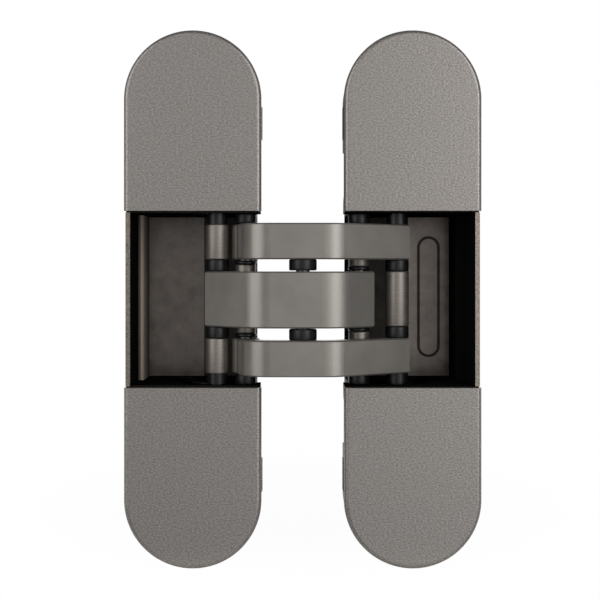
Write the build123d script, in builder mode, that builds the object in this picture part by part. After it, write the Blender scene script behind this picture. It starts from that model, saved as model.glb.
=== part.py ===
from build123d import *
import math
import os

# Concealed door hinge, fully open, seen from the front: x across, y into the depth, z up.
# The two leaves mirror each other about x = 0, and every depth is counted from the leaf faces.

# Leaves
leaf_width = 30.0
leaf_length = 117.4
leaf_gap = 18.0
leaf_depth = 25.4
closed_gap = 4.0

# Stack of the arms along the pivot pins
middle_height = 12.2
outer_height = 7.8
joint_gap = 2.6
end_gap = 2.5
side_play = 0.2
running_fit = 0.05

# Pivots in plan
pivot_x = 12.6
pivot_depth = 6.0
centre_depth = -1.3
outer_guide_x = 21.2
middle_guide_x = 18.95
pivot_pin_radius = 1.75
centre_pin_radius = 1.5
guide_pin_radius = 1.25

# Arms
arm_thickness = 3.4
arm_front = -4.3
arm_edge = 0.3
elbow_bend = 7.0
outer_shoulder = 13.2
outer_shoulder_bend = 5.8
outer_elbow = 6.4
outer_slope = 29.0
middle_shoulder = 6.9
middle_shoulder_bend = 8.5
middle_elbow = 9.3
middle_slope = 36.0
knuckle_radius = 3.1
guide_end_radius = 2.65

# Sleeves, washers and guide bushes
sleeve_radius = 2.3
sleeve_washer = 1.1
pivot_washer_radius = 2.4
guide_washer_radius = 2.6
bush_radius = 2.3
nose_radius = 1.8
nose_reach = 1.8

# Housings
box_inset = 0.3
end_room = 22.7
wall = 1.0
wall_front = 1.0
inner_recess = 1.2
rail_wall = 0.8
floor_thickness = 1.8
ledge_depth = 14.0
frame_ledge = 1.3
door_ledge = 2.2
ledge_round = 0.9
well_depth = 0.6
frame_well_x = 23.2
door_well_x = 25.7
back_edge = 1.0
groove_clearance = 0.2
groove_end_clearance = 0.4
inner_wall_clearance = 0.3
pin_grip = 5.0
bead_width = 5.4
bead_length = 29.0
bead_line = 0.6
bead_height = 0.2
bead_x = 30.6

# Tongues, mounting plates and their screws
tongue_front = 4.6
tongue_thickness = 3.0
tongue_clearance = 0.2
tongue_end = 1.0
plate_thickness = 4.0
plate_rim = 1.3
plate_reach = 25.7
plate_slack = 1.5
mount_hole_radius = 2.3
mount_sink_radius = 4.2
mount_clearance = 0.3
mount_rise = 0.8
rib_proud = 0.15
rib_length = 7.0
rib_reach = 20.0
rib_back = 5.0
clamp_radius = 2.1
clamp_slack = 0.3
clamp_travel = 2.0
clamp_clearance = 0.5
clamp_head_radius = 3.5
clamp_head_height = 2.2
clamp_key = 3.0
clamp_key_depth = 1.4
adjuster_radius = 2.5
adjuster_web = 0.8
adjuster_offset = 0.8
adjuster_stem_radius = 1.4
adjuster_slack = 0.1
adjuster_slot = 1.0
adjuster_slot_depth = 1.2
screw_end_clearance = 0.5

# Covers
cover_depth = 2.0
cover_skin = 1.2
cover_skirt = 1.2
cover_edge = 1.0
cover_gap = 0.3
peg_radius = 1.5
peg_slack = 0.1
peg_reach = 4.5
near_peg_inset = 7.0
far_peg_inset = 7.2
far_peg_shift = 2.4


def cosine(slope):
    return math.cos(math.radians(slope))


def fall(run, slope):
    return run * math.tan(math.radians(slope))


def arm_front_at(run, slope):
    return arm_front + arm_thickness / 2 + fall(run, slope) - arm_thickness / 2 / cosine(slope)


# Places that follow from the sizes above
leaf_x = (leaf_gap + leaf_width) / 2
box_width = leaf_width - 2 * box_inset
box_length = leaf_length - 2 * end_room
middle_top = middle_height / 2
outer_bottom = middle_top + joint_gap
outer_top = outer_bottom + outer_height
pocket_top = outer_top + end_gap
pocket_floor = leaf_depth - floor_thickness
outer_face_x = leaf_x + box_width / 2
inner_face_x = leaf_x - box_width / 2
pocket_outer_x = outer_face_x - wall
rail_x = inner_face_x + inner_recess
pocket_inner_x = rail_x + rail_wall
pocket_mid_x = (pocket_outer_x + pocket_inner_x) / 2
pocket_width = pocket_outer_x - pocket_inner_x
rail_front = pivot_depth + knuckle_radius + inner_wall_clearance
arm_middle = arm_front + arm_thickness / 2
boss_radius = centre_depth - arm_front
guide_set_back = guide_end_radius - arm_thickness / 2
outer_end_x = outer_guide_x + guide_end_radius
outer_tip_depth = arm_middle + fall(outer_guide_x - outer_elbow, outer_slope)
outer_corner_depth = arm_front_at(outer_end_x - outer_elbow, outer_slope)
outer_guide_depth = outer_tip_depth + guide_set_back / cosine(outer_slope)
middle_end_x = middle_guide_x + guide_end_radius
middle_tip_depth = arm_middle + fall(middle_guide_x - middle_elbow, middle_slope)
middle_corner_depth = arm_front_at(middle_end_x - middle_elbow, middle_slope)
middle_guide_depth = middle_tip_depth + guide_set_back / cosine(middle_slope)
knuckle_end_x = pivot_x + knuckle_radius
knuckle_tip_x = pivot_x + knuckle_radius / 4
knuckle_tip_depth = arm_middle + fall(knuckle_tip_x - middle_shoulder, middle_slope)
knuckle_corner_depth = arm_front_at(knuckle_end_x - middle_shoulder, middle_slope)
groove_radius = nose_radius + groove_clearance
nose_top = pocket_top + nose_reach
pin_top = pocket_top + pin_grip
groove_top = nose_top + groove_end_clearance
plate_front = tongue_front + tongue_thickness
plate_back = plate_front + plate_thickness
mount_z = leaf_length / 2 - leaf_width / 2 + mount_rise
mount_spread = box_width / 2 - plate_rim - mount_clearance - mount_sink_radius
plate_start = leaf_length / 2 - plate_reach
rib_z = leaf_length / 2 - rib_reach
tongue_width = 2 * (mount_spread - mount_sink_radius - tongue_clearance)
clamp_slot = 2 * (clamp_radius + clamp_slack) + clamp_travel
clamp_z = box_length / 2 + clamp_clearance + clamp_head_radius
adjuster_hole_radius = adjuster_radius + adjuster_slack
adjuster_z = clamp_z + clamp_slot / 2 + adjuster_web + adjuster_hole_radius
tongue_reach = adjuster_z + adjuster_hole_radius + tongue_end
near_peg_z = box_length / 2 - near_peg_inset
far_peg_z = leaf_length / 2 - far_peg_inset
far_peg_x = mount_spread - far_peg_shift
cover_start = pocket_top + cover_gap
box_round = box_length / 2 - box_width / 2
face_y = -(arm_front + leaf_depth) / 2
frame_ledge_x = pocket_outer_x - frame_ledge
door_ledge_x = pocket_outer_x - door_ledge
ledge_y = face_y + ledge_depth
plate_y = face_y + plate_front

# Swing of the outer arms from fully open to closed, when the centre pin lies midway between the leaves
arm_radius = math.hypot(pivot_x, pivot_depth - centre_depth)
open_angle = math.atan2(centre_depth - pivot_depth, pivot_x)
closed_angle = -math.pi + math.asin((closed_gap / 2 + pivot_depth) / arm_radius)
outer_swing = closed_angle - open_angle
middle_swing = -math.pi - outer_swing


def front_at(depth):
    return Plane.XZ.offset(-(face_y + depth))


def plan_at(height):
    return Plane(origin=(0, face_y, height))


def guide_place(share, guide_x, guide_depth):
    turn_outer = outer_swing * share
    turn_middle = middle_swing * share
    centre_x = -pivot_x + arm_radius * math.cos(open_angle + turn_outer)
    centre_y = pivot_depth + arm_radius * math.sin(open_angle + turn_outer)
    reach_x = -guide_x
    reach_y = guide_depth - centre_depth
    place_x = centre_x + reach_x * math.cos(turn_middle) - reach_y * math.sin(turn_middle)
    place_y = centre_y + reach_x * math.sin(turn_middle) + reach_y * math.cos(turn_middle)
    return (place_x, place_y)


os.makedirs("parts", exist_ok=True)

# Casting of both housings, drawn on the frame side: deep box with the arm pocket and a tongue at each end
with BuildPart() as casting:
    with BuildSketch(front_at(cover_depth)):
        with Locations((-leaf_x, 0)):
            SlotOverall(box_length, box_width, rotation=90)
    extrude(amount=-(leaf_depth - cover_depth))
    chamfer(casting.faces().sort_by(Axis.Y)[-1].edges(), back_edge)
    with BuildSketch(front_at(tongue_front)):
        with Locations((-leaf_x, 0)):
            SlotOverall(2 * tongue_reach, tongue_width, rotation=90)
    extrude(amount=-tongue_thickness)
    with BuildSketch(front_at(wall_front)):
        with Locations((-outer_face_x + wall / 2, 0)):
            Rectangle(wall, 2 * pocket_top)
    extrude(amount=-(pocket_floor - wall_front))
    with BuildSketch(front_at(0)):
        with Locations((-pocket_mid_x, 0)):
            Rectangle(pocket_width, 2 * pocket_top)
    extrude(amount=-pocket_floor, mode=Mode.SUBTRACT)
    with BuildSketch(front_at(0)):
        with Locations((-inner_face_x, 0)):
            Rectangle(2 * (pocket_inner_x - inner_face_x), 2 * pocket_top)
    extrude(amount=-rail_front, mode=Mode.SUBTRACT)
    with BuildSketch(front_at(0)):
        with Locations((-inner_face_x, 0)):
            Rectangle(2 * inner_recess, 2 * pocket_top)
    extrude(amount=-leaf_depth, mode=Mode.SUBTRACT)
    with BuildSketch(front_at(rail_front)):
        with Locations((-inner_face_x, 0)):
            Rectangle(2 * inner_recess, box_length)
    extrude(amount=-(leaf_depth - rail_front), mode=Mode.SUBTRACT)
    with BuildSketch(plan_at(-box_length / 2)):
        with Locations((-pivot_x, pivot_depth)):
            Circle(pivot_pin_radius)
    extrude(amount=box_length, mode=Mode.SUBTRACT)
    with BuildSketch(front_at(cover_depth)):
        with Locations((-leaf_x, near_peg_z), (-leaf_x, -near_peg_z)):
            Circle(peg_radius + peg_slack)
    extrude(amount=-peg_reach, mode=Mode.SUBTRACT)
    with BuildSketch(front_at(tongue_front)):
        with Locations((-leaf_x, clamp_z), (-leaf_x, -clamp_z)):
            SlotOverall(clamp_slot, 2 * (clamp_radius + clamp_slack), rotation=90)
        with Locations((-leaf_x, adjuster_z), (-leaf_x, -adjuster_z)):
            Circle(adjuster_hole_radius)
    extrude(amount=-tongue_thickness, mode=Mode.SUBTRACT)

# Frame housing: the casting with a round-edged ledge along the wall, a well under the arms and guide grooves
with BuildPart() as frame_housing:
    add(casting.part)
    with BuildSketch(front_at(ledge_depth)):
        with Locations((-pocket_outer_x + frame_ledge / 2, 0)):
            Rectangle(frame_ledge, 2 * pocket_top)
    extrude(amount=-(pocket_floor - ledge_depth))
    rim = frame_housing.edges().filter_by(Axis.Z)
    rim = rim.filter_by_position(Axis.Y, ledge_y - 0.01, ledge_y + 0.01)
    rim = rim.filter_by_position(Axis.X, -frame_ledge_x - 0.01, -frame_ledge_x + 0.01)
    fillet(rim, ledge_round)
    with BuildSketch(front_at(pocket_floor)):
        with Locations((-(pocket_inner_x + frame_well_x) / 2, 0)):
            Rectangle(frame_well_x - pocket_inner_x, 2 * pocket_top)
    extrude(amount=-well_depth, mode=Mode.SUBTRACT)
    with BuildSketch(plan_at(-groove_top)):
        for third in range(3):
            with BuildLine(mode=Mode.PRIVATE):
                run = ThreePointArc(
                    guide_place(third / 3, middle_guide_x, middle_guide_depth),
                    guide_place(third / 3 + 1 / 6, middle_guide_x, middle_guide_depth),
                    guide_place(third / 3 + 1 / 3, middle_guide_x, middle_guide_depth),
                )
            SlotArc(run, 2 * groove_radius)
    extrude(amount=2 * groove_top, mode=Mode.SUBTRACT)
frame_housing.part.label = "frame_housing"
export_step(frame_housing.part, "parts/frame_housing.step")

# Door housing: the mirrored casting with a wider ledge, well and grooves, and a raised line on the floor
with BuildPart() as door_housing:
    add(casting.part)
    with BuildSketch(front_at(ledge_depth)):
        with Locations((-pocket_outer_x + door_ledge / 2, 0)):
            Rectangle(door_ledge, 2 * pocket_top)
    extrude(amount=-(pocket_floor - ledge_depth))
    rim = door_housing.edges().filter_by(Axis.Z)
    rim = rim.filter_by_position(Axis.Y, ledge_y - 0.01, ledge_y + 0.01)
    rim = rim.filter_by_position(Axis.X, -door_ledge_x - 0.01, -door_ledge_x + 0.01)
    fillet(rim, ledge_round)
    with BuildSketch(front_at(pocket_floor)):
        with Locations((-(pocket_inner_x + door_well_x) / 2, 0)):
            Rectangle(door_well_x - pocket_inner_x, 2 * pocket_top)
    extrude(amount=-well_depth, mode=Mode.SUBTRACT)
    with BuildSketch(plan_at(-groove_top)):
        for third in range(3):
            with BuildLine(mode=Mode.PRIVATE):
                run = ThreePointArc(
                    guide_place(third / 3, outer_guide_x, outer_guide_depth),
                    guide_place(third / 3 + 1 / 6, outer_guide_x, outer_guide_depth),
                    guide_place(third / 3 + 1 / 3, outer_guide_x, outer_guide_depth),
                )
            SlotArc(run, 2 * groove_radius)
    extrude(amount=2 * groove_top, mode=Mode.SUBTRACT)
    with BuildSketch(front_at(pocket_floor)):
        with Locations((-bead_x, 0)):
            SlotOverall(bead_length, bead_width, rotation=90)
            SlotOverall(bead_length - 2 * bead_line, bead_width - 2 * bead_line, rotation=90, mode=Mode.SUBTRACT)
    extrude(amount=bead_height)
    mirror(about=Plane.YZ, mode=Mode.REPLACE)
door_housing.part.label = "door_housing"
export_step(door_housing.part, "parts/door_housing.step")

# Upper mounting plate of the frame leaf: tray with a hollow edge round the housing and two sunk screw holes
with BuildPart() as frame_plate_upper:
    with BuildSketch(front_at(cover_depth)):
        with Locations((-leaf_x, 0)):
            SlotOverall(leaf_length - 2 * box_inset, box_width, rotation=90)
        with Locations((-leaf_x, plate_start + leaf_length / 2)):
            Rectangle(leaf_width, leaf_length, mode=Mode.INTERSECT)
        with Locations((-leaf_x, box_round)):
            Circle(box_width / 2 + plate_slack, mode=Mode.SUBTRACT)
    extrude(amount=-(plate_back - cover_depth))
    with BuildSketch(front_at(cover_depth)):
        with Locations((-leaf_x, 0)):
            SlotOverall(
                leaf_length - 2 * (box_inset + plate_rim), box_width - 2 * plate_rim, rotation=90
            )
    extrude(amount=-(plate_front - cover_depth), mode=Mode.SUBTRACT)
    with BuildSketch(front_at(cover_depth)):
        with Locations((-leaf_x, rib_z)):
            Rectangle(leaf_width + 2 * rib_proud, rib_length)
            Rectangle(box_width - 2 * plate_rim, rib_length, mode=Mode.SUBTRACT)
    extrude(amount=-(rib_back - cover_depth))
    with BuildSketch(front_at(plate_front)):
        with Locations((-leaf_x - mount_spread, mount_z), (-leaf_x + mount_spread, mount_z)):
            Circle(mount_hole_radius)
        with Locations((-leaf_x, clamp_z)):
            Circle(clamp_radius)
        with Locations((-leaf_x + adjuster_offset, adjuster_z)):
            Circle(adjuster_stem_radius + adjuster_slack)
        with Locations((-leaf_x - far_peg_x, far_peg_z), (-leaf_x + far_peg_x, far_peg_z)):
            Circle(peg_radius + peg_slack)
    extrude(amount=-plate_thickness, mode=Mode.SUBTRACT)
    sinks = frame_plate_upper.edges().filter_by(GeomType.CIRCLE)
    sinks = sinks.filter_by_position(Axis.Y, plate_y - 0.01, plate_y + 0.01)
    sinks = sinks.filter_by_position(Axis.Z, mount_z - 0.01, mount_z + 0.01)
    chamfer(sinks, mount_sink_radius - mount_hole_radius)
frame_plate_upper.part.label = "frame_plate_upper"
export_step(frame_plate_upper.part, "parts/frame_plate_upper.step")

# The other three mounting plates are the same tray, turned over or mirrored
with BuildPart() as frame_plate_lower:
    mirror(frame_plate_upper.part, about=Plane.XY)
frame_plate_lower.part.label = "frame_plate_lower"
export_step(frame_plate_lower.part, "parts/frame_plate_lower.step")

with BuildPart() as door_plate_upper:
    mirror(frame_plate_upper.part, about=Plane.YZ)
door_plate_upper.part.label = "door_plate_upper"
export_step(door_plate_upper.part, "parts/door_plate_upper.step")

with BuildPart() as door_plate_lower:
    mirror(frame_plate_lower.part, about=Plane.YZ)
door_plate_lower.part.label = "door_plate_lower"
export_step(door_plate_lower.part, "parts/door_plate_lower.step")

# Upper cover of the frame leaf: hollow cap with a rounded front edge and three pegs behind
with BuildPart() as frame_cover_upper:
    with BuildSketch(front_at(0)):
        with Locations((-leaf_x, 0)):
            SlotOverall(leaf_length, leaf_width, rotation=90)
        with Locations((-leaf_x, cover_start + leaf_length / 2)):
            Rectangle(leaf_width, leaf_length, mode=Mode.INTERSECT)
    extrude(amount=-cover_depth)
    rounded = frame_cover_upper.faces().sort_by(Axis.Y)[0].edges().sort_by(Axis.Z)[1:]
    fillet(rounded, cover_edge)
    with BuildSketch(front_at(cover_skin)):
        with Locations((-leaf_x, 0)):
            SlotOverall(leaf_length - 2 * cover_skirt, leaf_width - 2 * cover_skirt, rotation=90)
        with Locations((-leaf_x, cover_start + cover_skirt + leaf_length / 2)):
            Rectangle(leaf_width, leaf_length, mode=Mode.INTERSECT)
    extrude(amount=-(cover_depth - cover_skin), mode=Mode.SUBTRACT)
    with BuildSketch(front_at(cover_skin)):
        with Locations((-leaf_x, near_peg_z)):
            Circle(peg_radius)
    extrude(amount=-(cover_depth - cover_skin + peg_reach - peg_slack))
    with BuildSketch(front_at(cover_skin)):
        with Locations((-leaf_x - far_peg_x, far_peg_z), (-leaf_x + far_peg_x, far_peg_z)):
            Circle(peg_radius)
    extrude(amount=-(plate_back - cover_skin - screw_end_clearance))
frame_cover_upper.part.label = "frame_cover_upper"
export_step(frame_cover_upper.part, "parts/frame_cover_upper.step")

# The other three covers
with BuildPart() as frame_cover_lower:
    mirror(frame_cover_upper.part, about=Plane.XY)
frame_cover_lower.part.label = "frame_cover_lower"
export_step(frame_cover_lower.part, "parts/frame_cover_lower.step")

with BuildPart() as door_cover_upper:
    mirror(frame_cover_upper.part, about=Plane.YZ)
door_cover_upper.part.label = "door_cover_upper"
export_step(door_cover_upper.part, "parts/door_cover_upper.step")

with BuildPart() as door_cover_lower:
    mirror(frame_cover_lower.part, about=Plane.YZ)
door_cover_lower.part.label = "door_cover_lower"
export_step(door_cover_lower.part, "parts/door_cover_lower.step")

# Clamp screws: low cheese heads with a hexagon socket, holding the tongues on the plates
with BuildPart() as frame_clamp_screws:
    with BuildSketch(front_at(tongue_front - clamp_head_height)):
        with Locations((-leaf_x, clamp_z), (-leaf_x, -clamp_z)):
            Circle(clamp_head_radius)
    extrude(amount=-clamp_head_height)
    with BuildSketch(front_at(tongue_front)):
        with Locations((-leaf_x, clamp_z), (-leaf_x, -clamp_z)):
            Circle(clamp_radius)
    extrude(amount=-(plate_back - tongue_front - screw_end_clearance))
    with BuildSketch(front_at(tongue_front - clamp_head_height)):
        with Locations((-leaf_x, clamp_z), (-leaf_x, -clamp_z)):
            RegularPolygon(clamp_key / 2, 6, major_radius=False)
    extrude(amount=-clamp_key_depth, mode=Mode.SUBTRACT)
frame_clamp_screws.part.label = "frame_clamp_screws"
export_step(frame_clamp_screws.part, "parts/frame_clamp_screws.step")

with BuildPart() as door_clamp_screws:
    mirror(frame_clamp_screws.part, about=Plane.YZ)
door_clamp_screws.part.label = "door_clamp_screws"
export_step(door_clamp_screws.part, "parts/door_clamp_screws.step")

# Side adjusters: slotted eccentric discs in the tongues, each on a stem set off its axis
with BuildPart() as frame_adjusters:
    with BuildSketch(front_at(tongue_front)):
        with Locations((-leaf_x, adjuster_z), (-leaf_x, -adjuster_z)):
            Circle(adjuster_radius)
    extrude(amount=-tongue_thickness)
    with BuildSketch(front_at(plate_front)):
        with Locations((-leaf_x + adjuster_offset, adjuster_z), (-leaf_x + adjuster_offset, -adjuster_z)):
            Circle(adjuster_stem_radius)
    extrude(amount=-(plate_thickness - screw_end_clearance))
    with BuildSketch(front_at(tongue_front)):
        with Locations((-leaf_x, adjuster_z), (-leaf_x, -adjuster_z)):
            Rectangle(2 * adjuster_radius, adjuster_slot)
    extrude(amount=-adjuster_slot_depth, mode=Mode.SUBTRACT)
frame_adjusters.part.label = "frame_adjusters"
export_step(frame_adjusters.part, "parts/frame_adjusters.step")

with BuildPart() as door_adjusters:
    mirror(frame_adjusters.part, about=Plane.YZ)
door_adjusters.part.label = "door_adjusters"
export_step(door_adjusters.part, "parts/door_adjusters.step")

# Outer arms: bent bars from the frame pivot, arching over the gap to the door guide
with BuildPart() as outer_arm_upper:
    with BuildSketch(plan_at(outer_bottom)):
        with BuildLine():
            FilletPolyline(
                (-pivot_x, pivot_depth),
                (-outer_shoulder, arm_middle),
                (outer_elbow, arm_middle),
                (outer_guide_x, outer_tip_depth),
                radius=(outer_shoulder_bend, elbow_bend),
            )
            offset(amount=arm_thickness / 2)
        make_face()
        Polygon(
            (outer_guide_x, arm_front_at(outer_guide_x - outer_elbow, outer_slope)),
            (outer_end_x, outer_corner_depth),
            (outer_end_x, outer_guide_depth),
            (outer_guide_x, outer_guide_depth),
            align=None,
        )
        with Locations((-pivot_x, pivot_depth)):
            Circle(knuckle_radius)
        with Locations((0, centre_depth)):
            Circle(boss_radius)
        with Locations((outer_guide_x, outer_guide_depth)):
            Circle(guide_end_radius)
        with Locations((-pivot_x, pivot_depth)):
            Circle(pivot_pin_radius + running_fit, mode=Mode.SUBTRACT)
        with Locations((0, centre_depth)):
            Circle(centre_pin_radius, mode=Mode.SUBTRACT)
        with Locations((outer_guide_x, outer_guide_depth)):
            Circle(guide_pin_radius, mode=Mode.SUBTRACT)
    extrude(amount=outer_height)
    rims = outer_arm_upper.faces().filter_by(Axis.Z).sort_by(Axis.Z)
    chamfer(rims[0].outer_wire().edges() + rims[-1].outer_wire().edges(), arm_edge)
outer_arm_upper.part.label = "outer_arm_upper"
export_step(outer_arm_upper.part, "parts/outer_arm_upper.step")

with BuildPart() as outer_arm_lower:
    mirror(outer_arm_upper.part, about=Plane.XY)
outer_arm_lower.part.label = "outer_arm_lower"
export_step(outer_arm_lower.part, "parts/outer_arm_lower.step")

# Middle arm: the taller mirrored bar from the door pivot to the frame guide
with BuildPart() as middle_arm:
    with BuildSketch(plan_at(-middle_top)):
        with BuildLine():
            FilletPolyline(
                (knuckle_tip_x, knuckle_tip_depth),
                (middle_shoulder, arm_middle),
                (-middle_elbow, arm_middle),
                (-middle_guide_x, middle_tip_depth),
                radius=(middle_shoulder_bend, elbow_bend),
            )
            offset(amount=arm_thickness / 2)
        make_face()
        Polygon(
            (pivot_x, arm_front_at(pivot_x - middle_shoulder, middle_slope)),
            (knuckle_end_x, knuckle_corner_depth),
            (knuckle_end_x, pivot_depth),
            (pivot_x, pivot_depth),
            align=None,
        )
        Polygon(
            (-middle_guide_x, arm_front_at(middle_guide_x - middle_elbow, middle_slope)),
            (-middle_end_x, middle_corner_depth),
            (-middle_end_x, middle_guide_depth),
            (-middle_guide_x, middle_guide_depth),
            align=None,
        )
        with Locations((pivot_x, pivot_depth)):
            Circle(knuckle_radius)
        with Locations((0, centre_depth)):
            Circle(boss_radius)
        with Locations((-middle_guide_x, middle_guide_depth)):
            Circle(guide_end_radius)
        with Locations((pivot_x, pivot_depth)):
            Circle(pivot_pin_radius + running_fit, mode=Mode.SUBTRACT)
        with Locations((0, centre_depth)):
            Circle(centre_pin_radius + running_fit, mode=Mode.SUBTRACT)
        with Locations((-middle_guide_x, middle_guide_depth)):
            Circle(guide_pin_radius, mode=Mode.SUBTRACT)
    extrude(amount=middle_height)
    rims = middle_arm.faces().filter_by(Axis.Z).sort_by(Axis.Z)
    chamfer(rims[0].outer_wire().edges() + rims[-1].outer_wire().edges(), arm_edge)
middle_arm.part.label = "middle_arm"
export_step(middle_arm.part, "parts/middle_arm.step")

# Pivot pins of the two housings
with BuildPart() as frame_pivot_pin:
    with BuildSketch(plan_at(-pin_top)):
        with Locations((-pivot_x, pivot_depth)):
            Circle(pivot_pin_radius)
    extrude(amount=2 * pin_top)
frame_pivot_pin.part.label = "frame_pivot_pin"
export_step(frame_pivot_pin.part, "parts/frame_pivot_pin.step")

with BuildPart() as door_pivot_pin:
    mirror(frame_pivot_pin.part, about=Plane.YZ)
door_pivot_pin.part.label = "door_pivot_pin"
export_step(door_pivot_pin.part, "parts/door_pivot_pin.step")

# Centre pin through all three arms, fixed in the outer pair
with BuildPart() as centre_pin:
    with BuildSketch(plan_at(-outer_top)):
        with Locations((0, centre_depth)):
            Circle(centre_pin_radius)
    extrude(amount=2 * outer_top)
centre_pin.part.label = "centre_pin"
export_step(centre_pin.part, "parts/centre_pin.step")

# Guide pins in the free ends of the arms
with BuildPart() as outer_guide_pin:
    with BuildSketch(plan_at(-nose_top)):
        with Locations((outer_guide_x, outer_guide_depth)):
            Circle(guide_pin_radius)
    extrude(amount=2 * nose_top)
outer_guide_pin.part.label = "outer_guide_pin"
export_step(outer_guide_pin.part, "parts/outer_guide_pin.step")

with BuildPart() as middle_guide_pin:
    with BuildSketch(plan_at(-nose_top)):
        with Locations((-middle_guide_x, middle_guide_depth)):
            Circle(guide_pin_radius)
    extrude(amount=2 * nose_top)
middle_guide_pin.part.label = "middle_guide_pin"
export_step(middle_guide_pin.part, "parts/middle_guide_pin.step")

# Spacer sleeve between the outer arms on the frame pivot
with BuildPart() as frame_pivot_sleeve:
    with BuildSketch(plan_at(-(outer_bottom - sleeve_washer))):
        with Locations((-pivot_x, pivot_depth)):
            Circle(sleeve_radius)
            Circle(pivot_pin_radius, mode=Mode.SUBTRACT)
    extrude(amount=2 * (outer_bottom - sleeve_washer))
frame_pivot_sleeve.part.label = "frame_pivot_sleeve"
export_step(frame_pivot_sleeve.part, "parts/frame_pivot_sleeve.step")

# Spacer sleeves above and below the middle arm on the door pivot
with BuildPart() as door_pivot_sleeves:
    with BuildSketch(plan_at(middle_top + sleeve_washer)):
        with Locations((pivot_x, pivot_depth)):
            Circle(sleeve_radius)
            Circle(pivot_pin_radius, mode=Mode.SUBTRACT)
    extrude(amount=outer_top - middle_top - sleeve_washer)
    mirror(about=Plane.XY)
door_pivot_sleeves.part.label = "door_pivot_sleeves"
export_step(door_pivot_sleeves.part, "parts/door_pivot_sleeves.step")

# Barrel between the outer arms on their guide pin
with BuildPart() as outer_guide_barrel:
    with BuildSketch(plan_at(-middle_top)):
        with Locations((outer_guide_x, outer_guide_depth)):
            Circle(guide_end_radius)
            Circle(guide_pin_radius, mode=Mode.SUBTRACT)
    extrude(amount=middle_height)
outer_guide_barrel.part.label = "outer_guide_barrel"
export_step(outer_guide_barrel.part, "parts/outer_guide_barrel.step")

# Barrels above and below the middle arm on its guide pin
with BuildPart() as middle_guide_barrels:
    with BuildSketch(plan_at(outer_bottom)):
        with Locations((-middle_guide_x, middle_guide_depth)):
            Circle(guide_end_radius)
            Circle(guide_pin_radius, mode=Mode.SUBTRACT)
    extrude(amount=outer_height)
    mirror(about=Plane.XY)
middle_guide_barrels.part.label = "middle_guide_barrels"
export_step(middle_guide_barrels.part, "parts/middle_guide_barrels.step")

# Plastic washers between the arms on the centre pin
with BuildPart() as centre_washers:
    with BuildSketch(plan_at(middle_top + side_play)):
        with Locations((0, centre_depth)):
            Circle(boss_radius)
            Circle(centre_pin_radius, mode=Mode.SUBTRACT)
    extrude(amount=joint_gap - side_play)
    mirror(about=Plane.XY)
centre_washers.part.label = "centre_washers"
export_step(centre_washers.part, "parts/centre_washers.step")

# Plastic washers on the frame pivot: thin ones at the sleeve, thick ones at the pocket ends
with BuildPart() as frame_pivot_washers:
    with BuildSketch(plan_at(outer_bottom - sleeve_washer)):
        with Locations((-pivot_x, pivot_depth)):
            Circle(pivot_washer_radius)
            Circle(pivot_pin_radius, mode=Mode.SUBTRACT)
    extrude(amount=sleeve_washer - side_play)
    with BuildSketch(plan_at(outer_top + side_play)):
        with Locations((-pivot_x, pivot_depth)):
            Circle(pivot_washer_radius)
            Circle(pivot_pin_radius, mode=Mode.SUBTRACT)
    extrude(amount=end_gap - side_play)
    mirror(about=Plane.XY)
frame_pivot_washers.part.label = "frame_pivot_washers"
export_step(frame_pivot_washers.part, "parts/frame_pivot_washers.step")

# Plastic washers on the door pivot
with BuildPart() as door_pivot_washers:
    with BuildSketch(plan_at(middle_top + side_play)):
        with Locations((pivot_x, pivot_depth)):
            Circle(pivot_washer_radius)
            Circle(pivot_pin_radius, mode=Mode.SUBTRACT)
    extrude(amount=sleeve_washer - side_play)
    with BuildSketch(plan_at(outer_top)):
        with Locations((pivot_x, pivot_depth)):
            Circle(pivot_washer_radius)
            Circle(pivot_pin_radius, mode=Mode.SUBTRACT)
    extrude(amount=end_gap)
    mirror(about=Plane.XY)
door_pivot_washers.part.label = "door_pivot_washers"
export_step(door_pivot_washers.part, "parts/door_pivot_washers.step")

# Plastic washers on the two guide pins
with BuildPart() as outer_guide_washers:
    with BuildSketch(plan_at(middle_top)):
        with Locations((outer_guide_x, outer_guide_depth)):
            Circle(guide_washer_radius)
            Circle(guide_pin_radius, mode=Mode.SUBTRACT)
    extrude(amount=joint_gap)
    mirror(about=Plane.XY)
outer_guide_washers.part.label = "outer_guide_washers"
export_step(outer_guide_washers.part, "parts/outer_guide_washers.step")

with BuildPart() as middle_guide_washers:
    with BuildSketch(plan_at(middle_top)):
        with Locations((-middle_guide_x, middle_guide_depth)):
            Circle(guide_washer_radius)
            Circle(guide_pin_radius, mode=Mode.SUBTRACT)
    extrude(amount=joint_gap)
    mirror(about=Plane.XY)
middle_guide_washers.part.label = "middle_guide_washers"
export_step(middle_guide_washers.part, "parts/middle_guide_washers.step")

# Plastic guide bushes on the pin ends: a flange in the pocket and a nose running in the groove
with BuildPart() as outer_guide_bushes:
    with BuildSketch(plan_at(outer_top)):
        with Locations((outer_guide_x, outer_guide_depth)):
            Circle(bush_radius)
            Circle(guide_pin_radius, mode=Mode.SUBTRACT)
    extrude(amount=end_gap - side_play)
    with BuildSketch(plan_at(outer_top)):
        with Locations((outer_guide_x, outer_guide_depth)):
            Circle(nose_radius)
            Circle(guide_pin_radius, mode=Mode.SUBTRACT)
    extrude(amount=nose_top - outer_top)
    mirror(about=Plane.XY)
outer_guide_bushes.part.label = "outer_guide_bushes"
export_step(outer_guide_bushes.part, "parts/outer_guide_bushes.step")

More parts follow.
